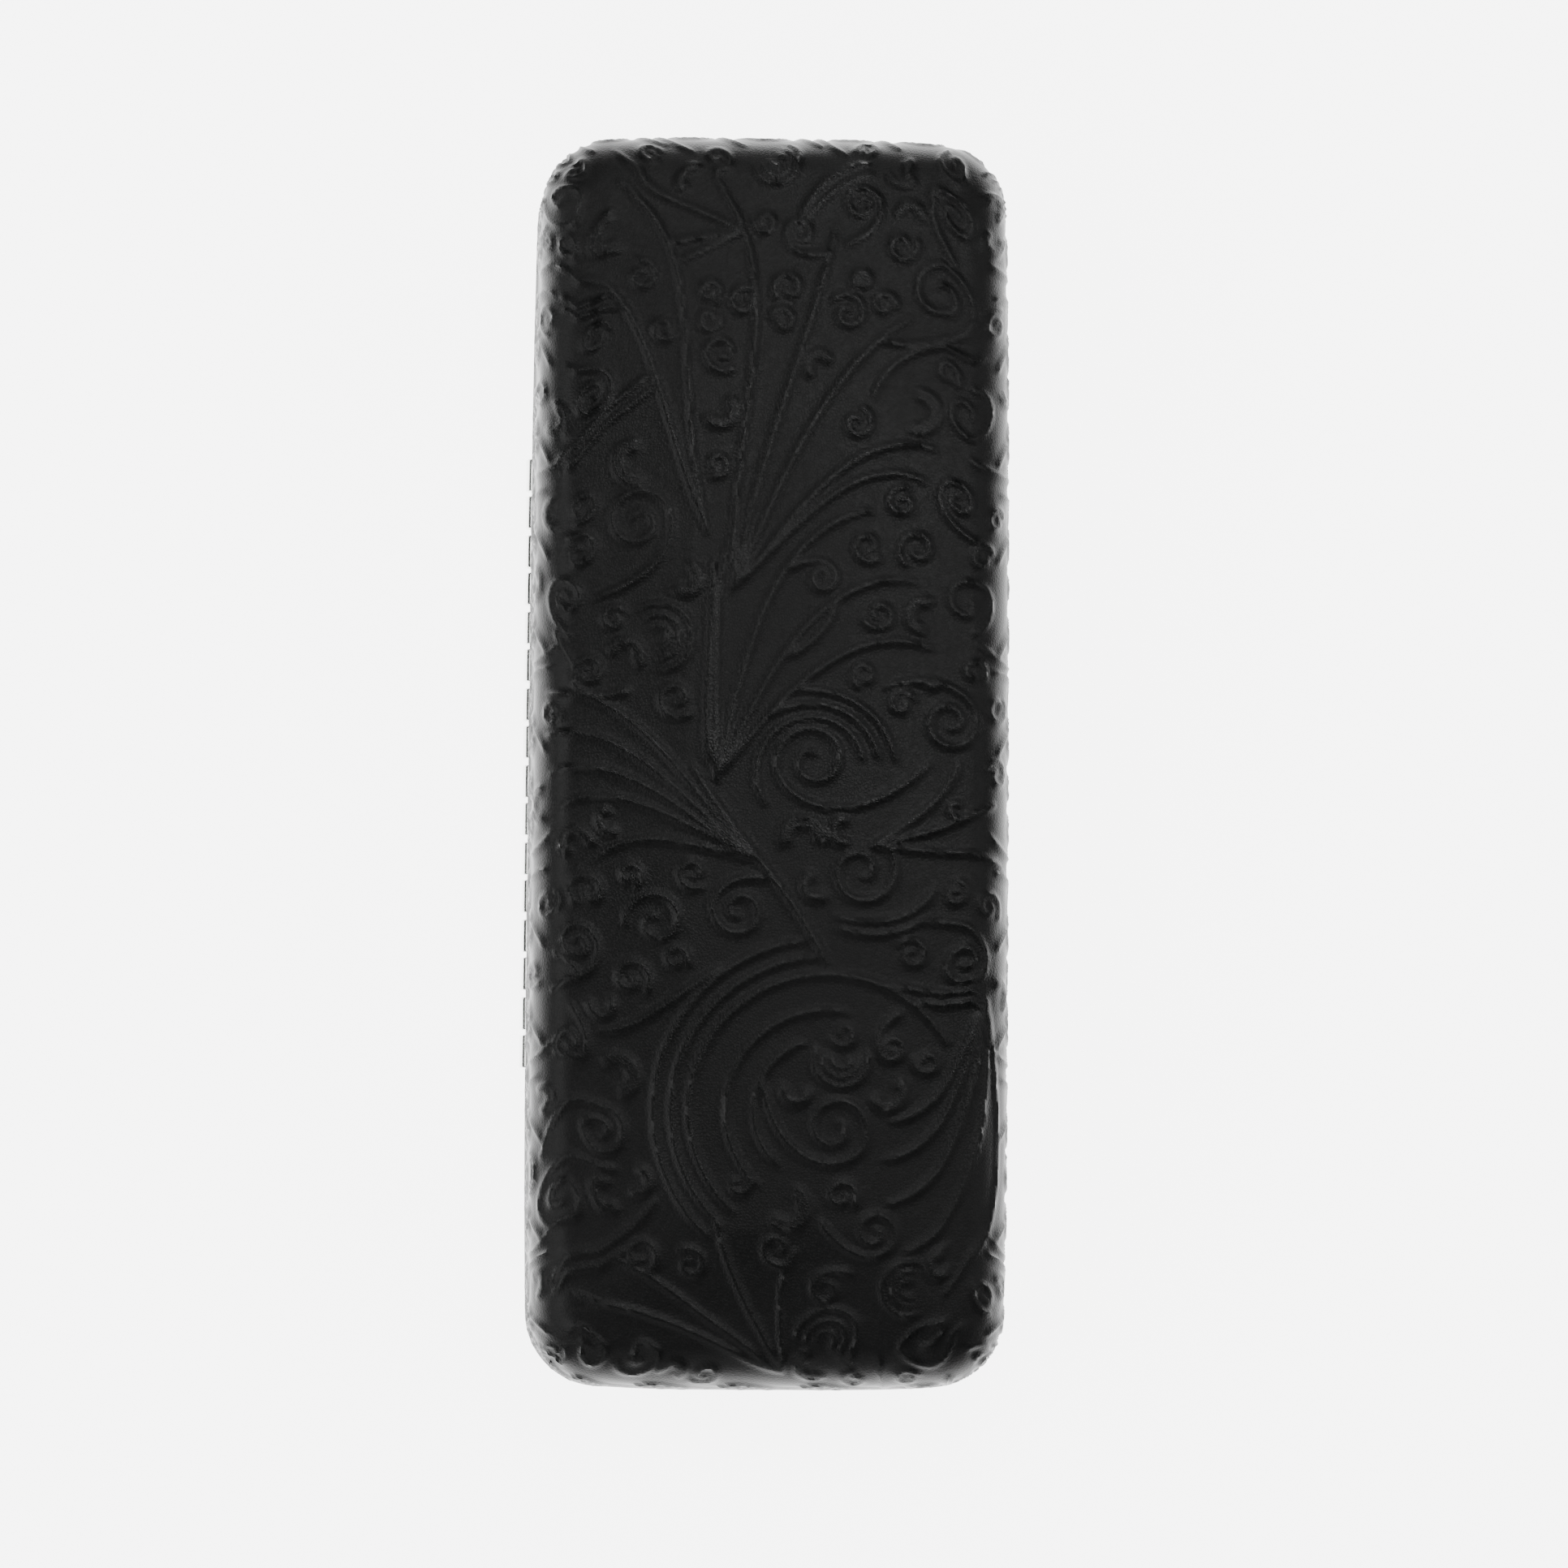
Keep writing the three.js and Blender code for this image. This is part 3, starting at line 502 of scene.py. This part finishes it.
# %% Metals and moulded board
def metal_finish(name, colours, roughness, stretch, scratch):
    """Plated or rolled metal: fine scratches along one way, and cloudy roughness."""
    made, tree, shader = finish(name, {"Metallic": 1.0})
    link = tree.links.new
    place = node(tree, "ShaderNodeTexCoord").outputs["Object"]
    turned = node(tree, "ShaderNodeMapping", {"Scale": stretch})
    link(place, turned.inputs["Vector"])
    lines = node(tree, "ShaderNodeTexNoise", {"Scale": 1600.0, "Detail": 4.0, "Roughness": 0.65})
    link(turned.outputs["Vector"], lines.inputs["Vector"])
    cloud = node(tree, "ShaderNodeTexNoise", {"Scale": 220.0, "Detail": 4.0})
    link(place, cloud.inputs["Vector"])
    link(ramp(tree, cloud.outputs["Fac"], 0.35, 0.7, colours), shader.inputs["Base Color"])
    spread = node(
        tree, "ShaderNodeMapRange",
        {"From Min": 0.35, "From Max": 0.7, "To Min": roughness[0], "To Max": roughness[1]},
    )
    link(lines.outputs["Fac"], spread.inputs["Value"])
    link(spread.outputs["Result"], shader.inputs["Roughness"])
    bump = node(tree, "ShaderNodeBump", {"Strength": scratch, "Distance": 0.00002})
    link(lines.outputs["Fac"], bump.inputs["Height"])
    link(bump.outputs["Normal"], shader.inputs["Normal"])
    return made


def moulded_finish():
    made, tree, shader = finish("moulded_board", {"Specular IOR Level": 0.35})
    link = tree.links.new
    place = node(tree, "ShaderNodeTexCoord").outputs["Object"]
    fibre = node(tree, "ShaderNodeTexNoise", {"Scale": 900.0, "Detail": 5.0, "Roughness": 0.65})
    link(place, fibre.inputs["Vector"])
    link(ramp(tree, fibre.outputs["Fac"], 0.3, 0.75, ((0.012, 0.011, 0.014, 1), (0.028, 0.026, 0.033, 1))),
         shader.inputs["Base Color"])
    spread = node(
        tree, "ShaderNodeMapRange", {"From Min": 0.3, "From Max": 0.7, "To Min": 0.6, "To Max": 0.8}
    )
    link(fibre.outputs["Fac"], spread.inputs["Value"])
    link(spread.outputs["Result"], shader.inputs["Roughness"])
    bump = node(tree, "ShaderNodeBump", {"Strength": 0.4, "Distance": 0.0001})
    link(fibre.outputs["Fac"], bump.inputs["Height"])
    link(bump.outputs["Normal"], shader.inputs["Normal"])
    return made


LEATHERETTE, PLUSH, MOULDED = leatherette_finish(), plush_finish(), moulded_finish()
NICKEL = metal_finish(
    "bright_nickel", ((0.74, 0.75, 0.73, 1), (0.86, 0.87, 0.85, 1)), (0.12, 0.26), (0.06, 1, 1), 0.25
)
SPRING_STEEL = metal_finish(
    "rolled_spring_steel", ((0.36, 0.37, 0.39, 1), (0.50, 0.51, 0.53, 1)), (0.22, 0.4), (0.08, 1, 1), 0.35
)
SHELL_STEEL = metal_finish(
    "pressed_steel", ((0.34, 0.345, 0.35, 1), (0.46, 0.465, 0.47, 1)), (0.32, 0.52), (1, 0.1, 1), 0.3
)
print("finishes made:", len(bpy.data.materials))


# %% Small helpers for modelling
def deselect():
    if bpy.context.mode != "OBJECT":
        bpy.ops.object.mode_set(mode="OBJECT")
    bpy.ops.object.select_all(action="DESELECT")


def activate(piece):
    deselect()
    piece.select_set(True)
    bpy.context.view_layer.objects.active = piece


def settle(piece):
    """Put the piece's place, turn and size into its mesh."""
    activate(piece)
    bpy.ops.object.transform_apply(location=True, rotation=True, scale=True)


def apply_modifier(piece, kind, **settings):
    activate(piece)
    added = piece.modifiers.new(kind.title(), kind)
    for key, value in settings.items():
        setattr(added, key, value)
    bpy.ops.object.modifier_apply(modifier=added.name)


def wear(piece, name, material, body, slot, *nodes):
    """Name a finished piece, dress it, tie it to its body, and hide the frame's nodes that it stands for."""
    piece.name = name
    piece.data.name = name
    piece.data.materials.clear()
    piece.data.materials.append(material)
    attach(piece, body)
    if nodes:
        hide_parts(*nodes)


def as_half(piece, half):
    """Bring a dome-up half shell to its place: the lid goes up to the seam, the base is turned over."""
    if half == "base":
        piece.data.transform(Matrix.Rotation(math.pi, 4, "X"))
    piece.data.transform(Matrix.Translation((0, 0, SEAM_Z * MM)))
    piece.data.update()


def sheet_grid(columns, rows, half_sizes):
    """A flat grid primitive, and the sheet coordinates of its vertices in millimetres."""
    deselect()
    bpy.ops.mesh.primitive_grid_add(x_subdivisions=columns, y_subdivisions=rows, size=2)
    piece = bpy.context.object
    flat = np.empty(len(piece.data.vertices) * 3)
    piece.data.vertices.foreach_get("co", flat)
    flat = flat.reshape(-1, 3)
    return piece, flat[:, 0] * half_sizes[0], flat[:, 1] * half_sizes[1]


def set_places(piece, x, y, z):
    piece.data.vertices.foreach_set("co", (np.stack([x, y, z], 1) * MM).ravel())
    piece.data.update()


def remember(piece, name, values):
    """Keep a number for each vertex as an attribute of the mesh."""
    kept = piece.data.attributes.get(name) or piece.data.attributes.new(name, "FLOAT", "POINT")
    kept.data.foreach_set("value", np.asarray(values, np.float32))


def recall(piece, name):
    values = np.empty(len(piece.data.vertices), np.float32)
    piece.data.attributes[name].data.foreach_get("value", values)
    return values


# %% [markdown]
# ## The leatherette covers
# Each cover is one grid of fine squares, wrapped over its half shell with the embossing pressed in.
# At the rim the sheet is folded in: the grid's outer edge is extruded a ring at a time, as the hem
# runs up inside. A coarse grid makes the glued back, and a bridge closes the body between them.

# %% Making a cover
COVER_COLUMNS, COVER_ROWS = 412, 198
COVER_THICKNESS, HEM_INNER, HEM_OUTER, HEM_HEIGHT = 0.7, 1.8, 1.3, 6.0


def extrude_ring(piece, inset_of, z):
    """Extrude the open edge of the sheet and put the new ring at an inset and a height."""
    activate(piece)
    bpy.ops.object.mode_set(mode="EDIT")
    bpy.ops.mesh.select_mode(type="EDGE")
    bpy.ops.mesh.select_all(action="DESELECT")
    bpy.ops.mesh.select_non_manifold(
        extend=False, use_wire=False, use_boundary=True,
        use_multi_face=False, use_non_contiguous=False, use_verts=False,
    )
    bpy.ops.mesh.extrude_edges_move()
    bpy.ops.object.mode_set(mode="OBJECT")
    chosen = np.empty(len(piece.data.vertices), bool)
    piece.data.vertices.foreach_get("select", chosen)
    u, v = recall(piece, "sheet_u").astype(float), recall(piece, "sheet_v").astype(float)
    places = np.empty(len(chosen) * 3)
    piece.data.vertices.foreach_get("co", places)
    places = places.reshape(-1, 3)
    x, y = around(u[chosen], v[chosen], inset_of, CORNER_RADIUS - inset_of)
    places[chosen] = np.stack([x, y, np.full(x.shape, z)], 1) * MM
    piece.data.vertices.foreach_set("co", places.ravel())
    piece.data.update()


def make_cover(half, cut, sheet, mirror):
    size = (CORE[0] + cut["along"][-1], CORE[1] + cut["along"][-1])
    cover, u, v = sheet_grid(COVER_COLUMNS, COVER_ROWS, size)
    height, fade = relief_at(sheet, mirror * u, mirror * v)
    # The ridges reach the true surface, and the ground lies under it.
    set_places(cover, *wrap(u, v, cut, RELIEF * (fade - height)))
    remember(cover, "emboss", height)
    remember(cover, "sheet_u", u)
    remember(cover, "sheet_v", v)
    slope = math.tan(DRAFT)
    extrude_ring(cover, HEM_INNER - 0.35, HALF_SEAM)
    extrude_ring(cover, HEM_INNER, HALF_SEAM + 0.3)
    extrude_ring(cover, HEM_INNER + (HEM_HEIGHT - WALL_FOOT) * slope, HALF_SEAM + HEM_HEIGHT)
    extrude_ring(cover, HEM_OUTER + (HEM_HEIGHT - WALL_FOOT) * slope, HALF_SEAM + HEM_HEIGHT)
    extrude_ring(cover, HEM_OUTER, HALF_SEAM + COVER_THICKNESS)
    # The glued back is a coarse copy of the sheet, facing the other way.
    wall_stop = 2.2
    back_size = (size[0] - wall_stop, size[1] - wall_stop)
    back, u, v = sheet_grid(60, 30, back_size)
    set_places(back, *wrap(u, v, cut, np.full(u.shape, COVER_THICKNESS)))
    activate(back)
    bpy.ops.object.mode_set(mode="EDIT")
    bpy.ops.mesh.select_all(action="SELECT")
    bpy.ops.mesh.flip_normals()
    bpy.ops.object.mode_set(mode="OBJECT")
    activate(cover)
    back.select_set(True)
    bpy.ops.object.join()
    bpy.ops.object.mode_set(mode="EDIT")
    bpy.ops.mesh.select_mode(type="EDGE")
    bpy.ops.mesh.select_all(action="DESELECT")
    bpy.ops.mesh.select_non_manifold(
        extend=False, use_wire=False, use_boundary=True,
        use_multi_face=False, use_non_contiguous=False, use_verts=False,
    )
    bpy.ops.mesh.bridge_edge_loops()
    bpy.ops.object.mode_set(mode="OBJECT")
    as_half(cover, half)
    return cover


lid_cover = make_cover("lid", LID_SECTION, lid_sheet, 1)
base_cover = make_cover("base", BASE_SECTION, lid_sheet, -1)
print("triangles in the lid's cover:", sum(len(p.vertices) - 2 for p in lid_cover.data.polygons))

# %% [markdown]
# The covers are cut away around the hinge: a round notch in the rims for the barrel, and a window in
# the hems where the leaves lie on bare steel. A boolean with a bar and a block does what a knife does
# on the real cover.

# %% Notches for the hinge
pin_low, pin_high = (np.array(corner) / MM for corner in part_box("hinge_pin"))
AXIS_Y, AXIS_Z = (pin_low[1] + pin_high[1]) / 2, (pin_low[2] + pin_high[2]) / 2
HINGE_LENGTH = pin_high[0] - pin_low[0]
BARREL_RADIUS, NOTCH_RADIUS, NOTCH_END = 1.2, 1.5, 1.5


def bar_along_x(radius, x0, x1, y, z, sides=32):
    deselect()
    bpy.ops.mesh.primitive_cylinder_add(
        vertices=sides,
        radius=radius * MM,
        depth=(x1 - x0) * MM,
        location=((x0 + x1) / 2 * MM, y * MM, z * MM),
        rotation=(0, math.pi / 2, 0),
    )
    settle(bpy.context.object)
    return bpy.context.object


def block(low, high):
    deselect()
    middle = [(a + b) / 2 * MM for a, b in zip(low, high)]
    bpy.ops.mesh.primitive_cube_add(size=1, location=middle)
    made = bpy.context.object
    made.scale = [(b - a) * MM for a, b in zip(low, high)]
    settle(made)
    return made


def carve(piece, *tools):
    """Cut tools out of a piece, and throw the tools away."""
    for tool in tools:
        apply_modifier(piece, "BOOLEAN", object=tool, operation="DIFFERENCE", solver="EXACT")
        bpy.data.objects.remove(tool)


for cover in (lid_cover, base_cover):
    half = HINGE_LENGTH / 2 + NOTCH_END
    notch = bar_along_x(NOTCH_RADIUS, -half, half, AXIS_Y, AXIS_Z, 48)
    hem = block(
        (-half, DEPTH / 2 - 7, AXIS_Z - HEM_HEIGHT - 1),
        (half, DEPTH / 2 - COVER_THICKNESS - 0.35, AXIS_Z + HEM_HEIGHT + 1),
    )
    carve(cover, hem, notch)
    activate(cover)
    bpy.ops.object.shade_smooth_by_angle(angle=math.radians(48))
wear(lid_cover, "lid_cover", LEATHERETTE, "lid", "leatherette", "lid_leatherette_cover")
wear(base_cover, "base_cover", LEATHERETTE, "base", "leatherette", "base_leatherette_cover")
print("vertices after the cuts:", len(lid_cover.data.vertices), len(base_cover.data.vertices))

# %% [markdown]
# ## The plush linings
# A lining is a softer, coarser sheet that is pressed into the tray. It is the same wrapped grid, set
# deeper, and a Solidify modifier gives it the thickness of plush and its backing.

# %% Making a lining
PLUSH_DEPTH, PLUSH_THICKNESS, PLUSH_LIP = 3.1, 0.5, 0.75
SPRING_AT, BAY_HALF, BAY_HEIGHT = 18.5, 6.4, 5.5


def make_lining(half, cut):
    stop = 2.0
    size = (CORE[0] + cut["along"][-1] - stop, CORE[1] + cut["along"][-1] - stop)
    lining, u, v = sheet_grid(190, 90, size)
    ripple = 0.05 * np.sin(u * 0.9 + 1.3 * np.sin(v * 0.31)) * np.sin(v * 0.8 + np.sin(u * 0.23))
    set_places(lining, *wrap(u, v, cut, PLUSH_DEPTH + PLUSH_THICKNESS + ripple))
    remember(lining, "sheet_u", u)
    remember(lining, "sheet_v", v)
    # The edge folds out over the tray's rim.
    inner = PLUSH_DEPTH + PLUSH_THICKNESS
    extrude_ring(lining, inner - 0.15, HALF_SEAM + PLUSH_LIP)
    extrude_ring(lining, inner - 0.5, HALF_SEAM + 0.55)
    extrude_ring(lining, inner - 1.05, HALF_SEAM + 0.6)
    activate(lining)
    bpy.ops.object.mode_set(mode="EDIT")
    bpy.ops.mesh.select_all(action="SELECT")
    bpy.ops.mesh.flip_normals()
    bpy.ops.object.mode_set(mode="OBJECT")
    apply_modifier(lining, "SOLIDIFY", thickness=PLUSH_THICKNESS * MM, offset=-1)
    as_half(lining, half)
    y0, y1 = AXIS_Y - 8.5, AXIS_Y + 1
    z0, z1 = AXIS_Z - BAY_HEIGHT, AXIS_Z + BAY_HEIGHT
    for x in (-SPRING_AT, SPRING_AT):
        carve(lining, block((x - BAY_HALF, y0, z0), (x + BAY_HALF, y1, z1)))
    activate(lining)
    bpy.ops.object.shade_smooth_by_angle(angle=math.radians(50))
    return lining


wear(make_lining("lid", LID_SECTION), "lid_lining", PLUSH, "lid", "plush", "lid_plush_lining")
wear(make_lining("base", BASE_SECTION), "base_lining", PLUSH, "base", "plush", "base_plush_lining")

# %% [markdown]
# ## The hinge
# Each knuckle is the end of a leaf rolled around the pin, with its edges broken by tumbling. A round
# bar with a small bevel has that shape. The leaves, rivets and springs keep the frame's own solids.

# %% Knuckles and pin
# The knuckles are solid here, without the frame's bore, so the pin runs through them unseen.
KNUCKLE_PITCH, KNUCKLE_LENGTH, KNUCKLES, LEAF_SHIFT = 5.0, 4.14, 16, 0.12


def bevelled_bar(radius, x0, x1, bevel, sides=48):
    bar = bar_along_x(radius, x0, x1, AXIS_Y, AXIS_Z, sides)
    apply_modifier(
        bar, "BEVEL", width=bevel * MM, segments=3, limit_method="ANGLE", angle_limit=math.radians(50)
    )
    return bar


def make_knuckles(turn, shift):
    bars = []
    for i in range(KNUCKLES // 2):
        middle = turn * (2 * i - (KNUCKLES - 1) / 2) * KNUCKLE_PITCH + shift
        half = KNUCKLE_LENGTH / 2 + 0.01
        bars.append(bevelled_bar(BARREL_RADIUS + 0.01, middle - half, middle + half, 0.14))
    activate(bars[0])
    for bar in bars:
        bar.select_set(True)
    bpy.ops.object.join()
    bpy.ops.object.shade_smooth_by_angle(angle=math.radians(40))
    return bpy.context.object


wear(make_knuckles(1, LEAF_SHIFT), "lid_knuckles", NICKEL, "lid", "hinge_nickel")
wear(make_knuckles(-1, 0), "base_knuckles", NICKEL, "base", "hinge_nickel")
pin = bevelled_bar(0.65, -HINGE_LENGTH / 2, HINGE_LENGTH / 2, 0.2)
bpy.ops.object.shade_smooth_by_angle(angle=math.radians(40))
wear(pin, "pin", NICKEL, "base", "hinge_nickel", "hinge_pin")

# %% Finishes on the frame's own solids
CAD_FINISHES = (
    ("steel_shell", SHELL_STEEL),
    ("liner_tray", MOULDED),
    ("hinge_leaf", NICKEL),
    ("hinge_rivet", NICKEL),
    ("snap_spring", SPRING_STEEL),
)
for piece in bpy.data.objects:
    for word, material in CAD_FINISHES:
        if piece.type == "MESH" and word in piece.name:
            piece.data.materials.clear()
            piece.data.materials.append(material)

# %% [markdown]
# ## Floor, light and camera
# The case lies on a pale floor that glows like a light table. Soft boxes all round graze the walls, and
# a weak one overhead leaves a broad sheen on the lid, as a black glossy thing is usually lit.

# %% Floor and lights
deselect()
FLOOR_SIZE, FLOOR_DROP, FLOOR_GLOW = 6, 0.0004, 6.0  # metres, metres and emission strength
bpy.ops.mesh.primitive_plane_add(size=FLOOR_SIZE, location=(0, 0, -FLOOR_DROP))
floor = bpy.context.object
floor.name = "floor"
floor_finish = finish("pale_floor", {
    "Base Color": (0.93, 0.93, 0.93, 1), "Roughness": 0.9,
    "Emission Color": (1, 1, 1, 1), "Emission Strength": FLOOR_GLOW,
})[0]
floor.data.materials.append(floor_finish)


def soft_box(name, place, size, power):
    light = bpy.data.lights.new(name, "AREA")
    light.shape, light.size, light.size_y, light.energy = "RECTANGLE", size[0], size[1], power
    box = bpy.data.objects.new(name, light)
    bpy.context.collection.objects.link(box)
    box.location = place
    box.rotation_euler = (-Vector(place)).to_track_quat("-Z", "Y").to_euler()


soft_box("hinge_side_box", (-0.1, 1.0, 1.15), (1.4, 0.7), 12)
soft_box("opening_side_box", (0.1, -1.1, 1.2), (1.4, 0.6), 5)
soft_box("near_end_box", (-1.25, 0.1, 1.1), (0.7, 1.2), 5)
soft_box("far_end_box", (1.25, 0.0, 1.1), (0.7, 1.2), 5)
soft_box("sheen_box", (0.2, -0.12, 0.9), (0.42, 0.12), 1.9)
world = bpy.data.worlds.new("studio")
bpy.context.scene.world = world
world.use_nodes = True
world.node_tree.nodes["Background"].inputs["Color"].default_value = (1, 1, 1, 1)
world.node_tree.nodes["Background"].inputs["Strength"].default_value = 0.06

# %% Camera
CAMERA_PLACE = Vector((-0.0581, 0.0234, 0.618))
CAMERA_TILTS = (-0.0926, -0.0425, 0.0106)
LENS, SENSOR = 106.6, 36.0
straight = Matrix(((0, -1, 0), (-1, 0, 0), (0, 0, -1)))  # rows: right, down and forward
tilt = (
    Matrix.Rotation(CAMERA_TILTS[2], 3, "Z")
    @ Matrix.Rotation(CAMERA_TILTS[1], 3, "Y")
    @ Matrix.Rotation(CAMERA_TILTS[0], 3, "X")
)
right, down, forward = (tilt @ straight)
camera_data = bpy.data.cameras.new("camera")
camera_data.lens, camera_data.sensor_width = LENS, SENSOR
camera_data.clip_start, camera_data.clip_end = 0.01, 20
camera = bpy.data.objects.new("camera", camera_data)
bpy.context.collection.objects.link(camera)
facing = Matrix((right, -down, -forward)).transposed().to_4x4()
camera.matrix_world = Matrix.Translation(CAMERA_PLACE) @ facing
bpy.context.scene.camera = camera
